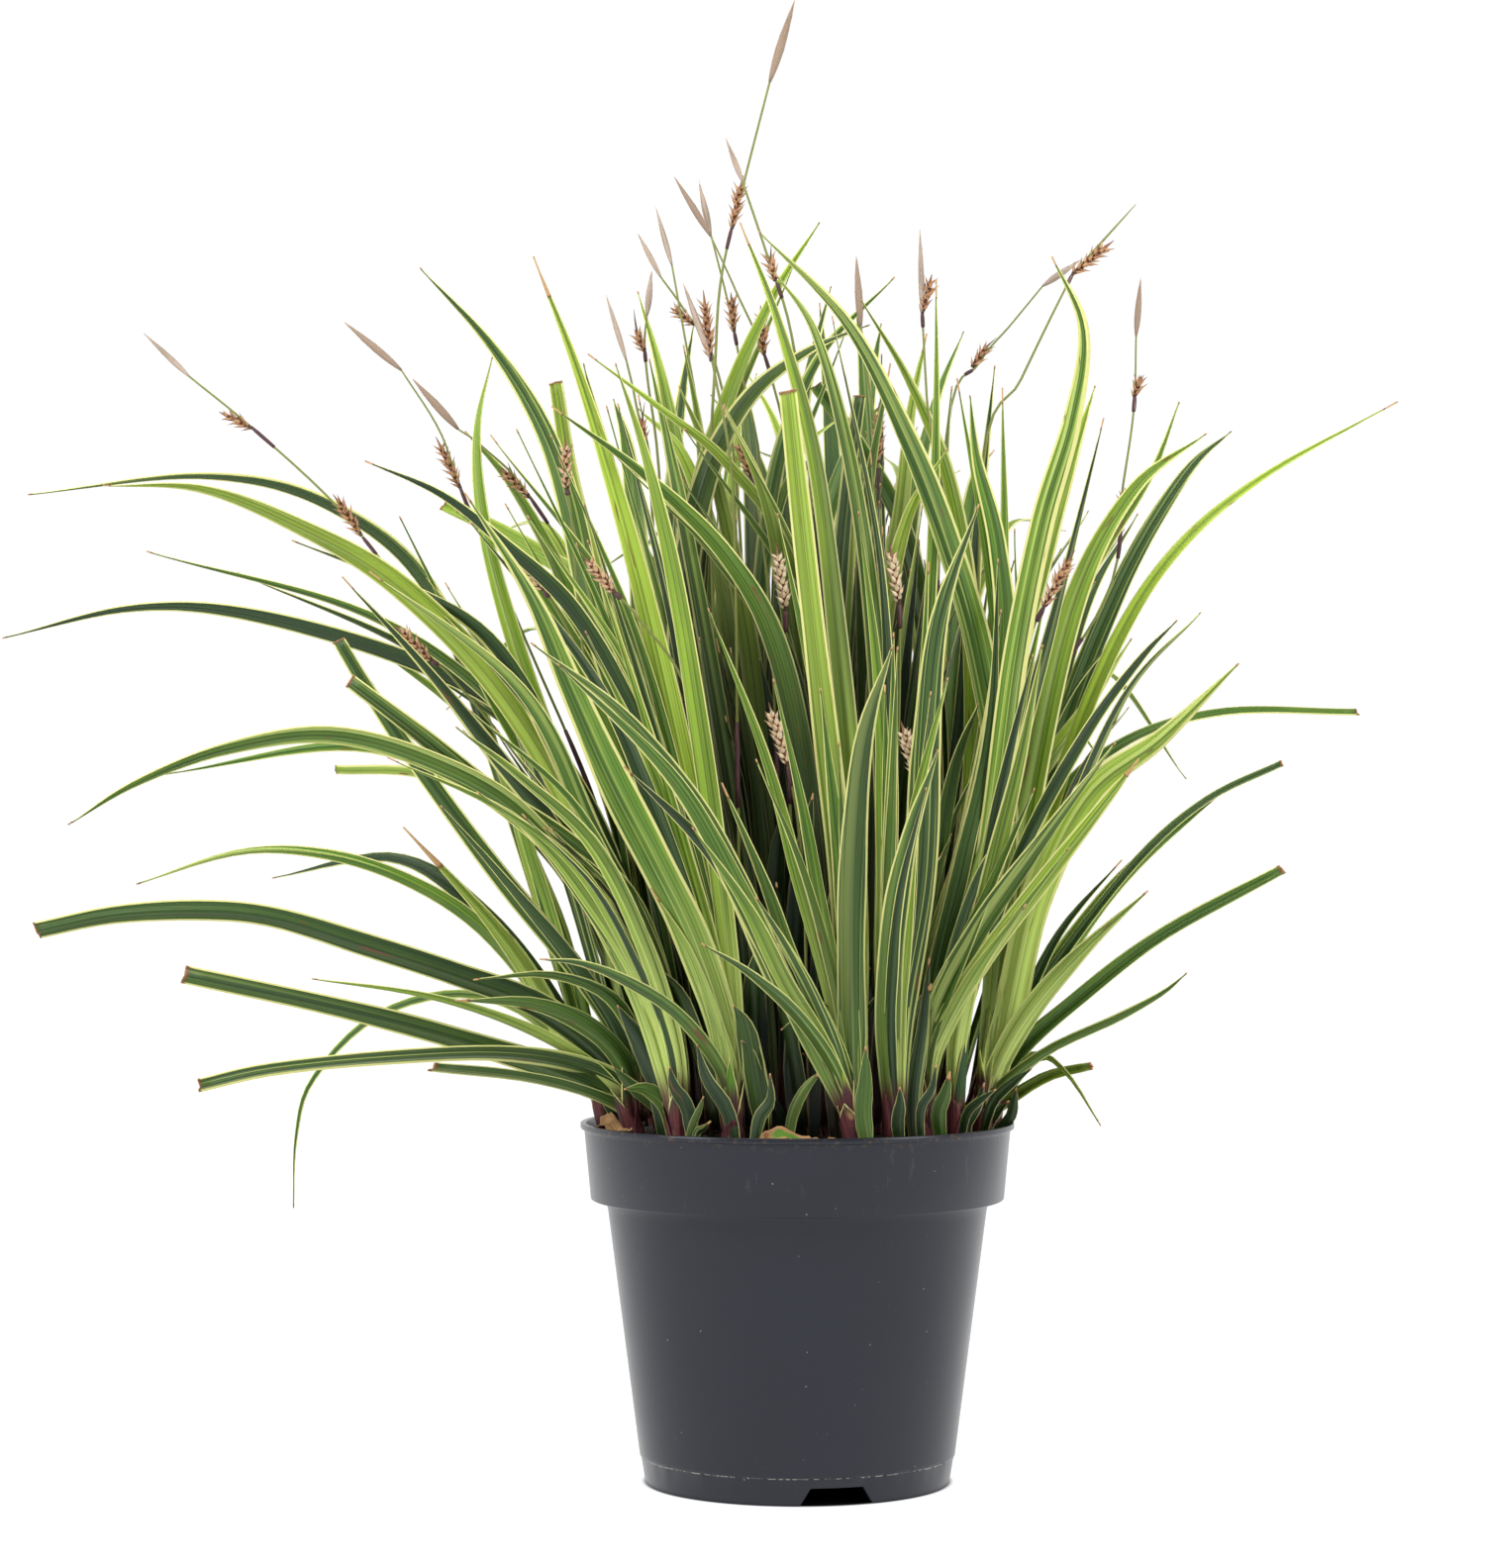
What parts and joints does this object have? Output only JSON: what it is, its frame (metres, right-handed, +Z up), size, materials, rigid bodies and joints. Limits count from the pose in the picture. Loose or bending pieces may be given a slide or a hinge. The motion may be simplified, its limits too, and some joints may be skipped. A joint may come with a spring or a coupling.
{
  "type": "potted carex sedge",
  "caption": "Tuft of arching cream-edged sedge leaves with slim brown flower spikes, growing in a round tapered black nursery pot.",
  "frame": {"origin": "centre of the pot's underside, on the ground and on the pot's upright axis", "axes": "+Z up along the pot's axis; -Y towards the front, where a drain notch in the foot shows just right of the middle; +X to the right seen from the front, away from the long trimmed leaves"},
  "size_m": [0.6158, 0.554, 0.648],
  "materials": {
    "pot_plastic": "satin charcoal-black polypropylene, faintly dusty",
    "soil": "rough moist potting mix of peat and bark",
    "leaf": "smooth waxy leaf, mid green with cream margins and fine parallel veins",
    "dry_leaf": "matt papery tan",
    "flower_stem": "dull green-brown stem with brown scaly spikes"
  },
  "bodies": {
    "root": {"nursery_pot": "pot_plastic", "root_ball": "soil", "dry_leaf_scrap_front": "dry_leaf", "dry_leaf_scrap_left": "dry_leaf", "flower_stem_01": "flower_stem", "flower_stem_02": "flower_stem", "flower_stem_03": "flower_stem", "flower_stem_04": "flower_stem", "flower_stem_05": "flower_stem", "flower_stem_06": "flower_stem", "flower_stem_07": "flower_stem", "flower_stem_08": "flower_stem", "flower_stem_09": "flower_stem", "flower_stem_10": "flower_stem", "flower_stem_11": "flower_stem", "flower_stem_12": "flower_stem", "flower_stem_13": "flower_stem", "flower_stem_14": "flower_stem", "flower_stem_15": "flower_stem", "flower_stem_16": "flower_stem", "flower_stem_17": "flower_stem", "flower_stem_18": "flower_stem", "flower_stem_19": "flower_stem", "flower_stem_20": "flower_stem", "flower_stem_21": "flower_stem", "flower_stem_22": "flower_stem", "flower_stem_23": "flower_stem", "flower_stem_24": "flower_stem", "flower_stem_25": "flower_stem", "flower_stem_26": "flower_stem", "flower_stem_27": "flower_stem", "leaf_shoot_01": "leaf", "leaf_shoot_02": "leaf", "leaf_shoot_03": "leaf", "leaf_shoot_04": "leaf", "leaf_shoot_05": "leaf", "leaf_shoot_06": "leaf", "leaf_shoot_07": "leaf", "leaf_shoot_08": "leaf", "leaf_shoot_09": "leaf", "leaf_shoot_10": "leaf", "leaf_shoot_11": "leaf", "leaf_shoot_12": "leaf", "leaf_shoot_13": "leaf", "leaf_shoot_14": "leaf", "leaf_shoot_15": "leaf", "leaf_shoot_16": "leaf", "leaf_shoot_17": "leaf", "leaf_shoot_18": "leaf", "leaf_shoot_19": "leaf", "leaf_shoot_20": "leaf", "leaf_shoot_21": "leaf", "leaf_shoot_22": "leaf", "leaf_shoot_23": "leaf", "leaf_shoot_24": "leaf", "leaf_shoot_25": "leaf", "leaf_shoot_26": "leaf", "leaf_shoot_27": "leaf", "leaf_shoot_28": "leaf", "leaf_shoot_29": "leaf"}
  },
  "joints": []
}
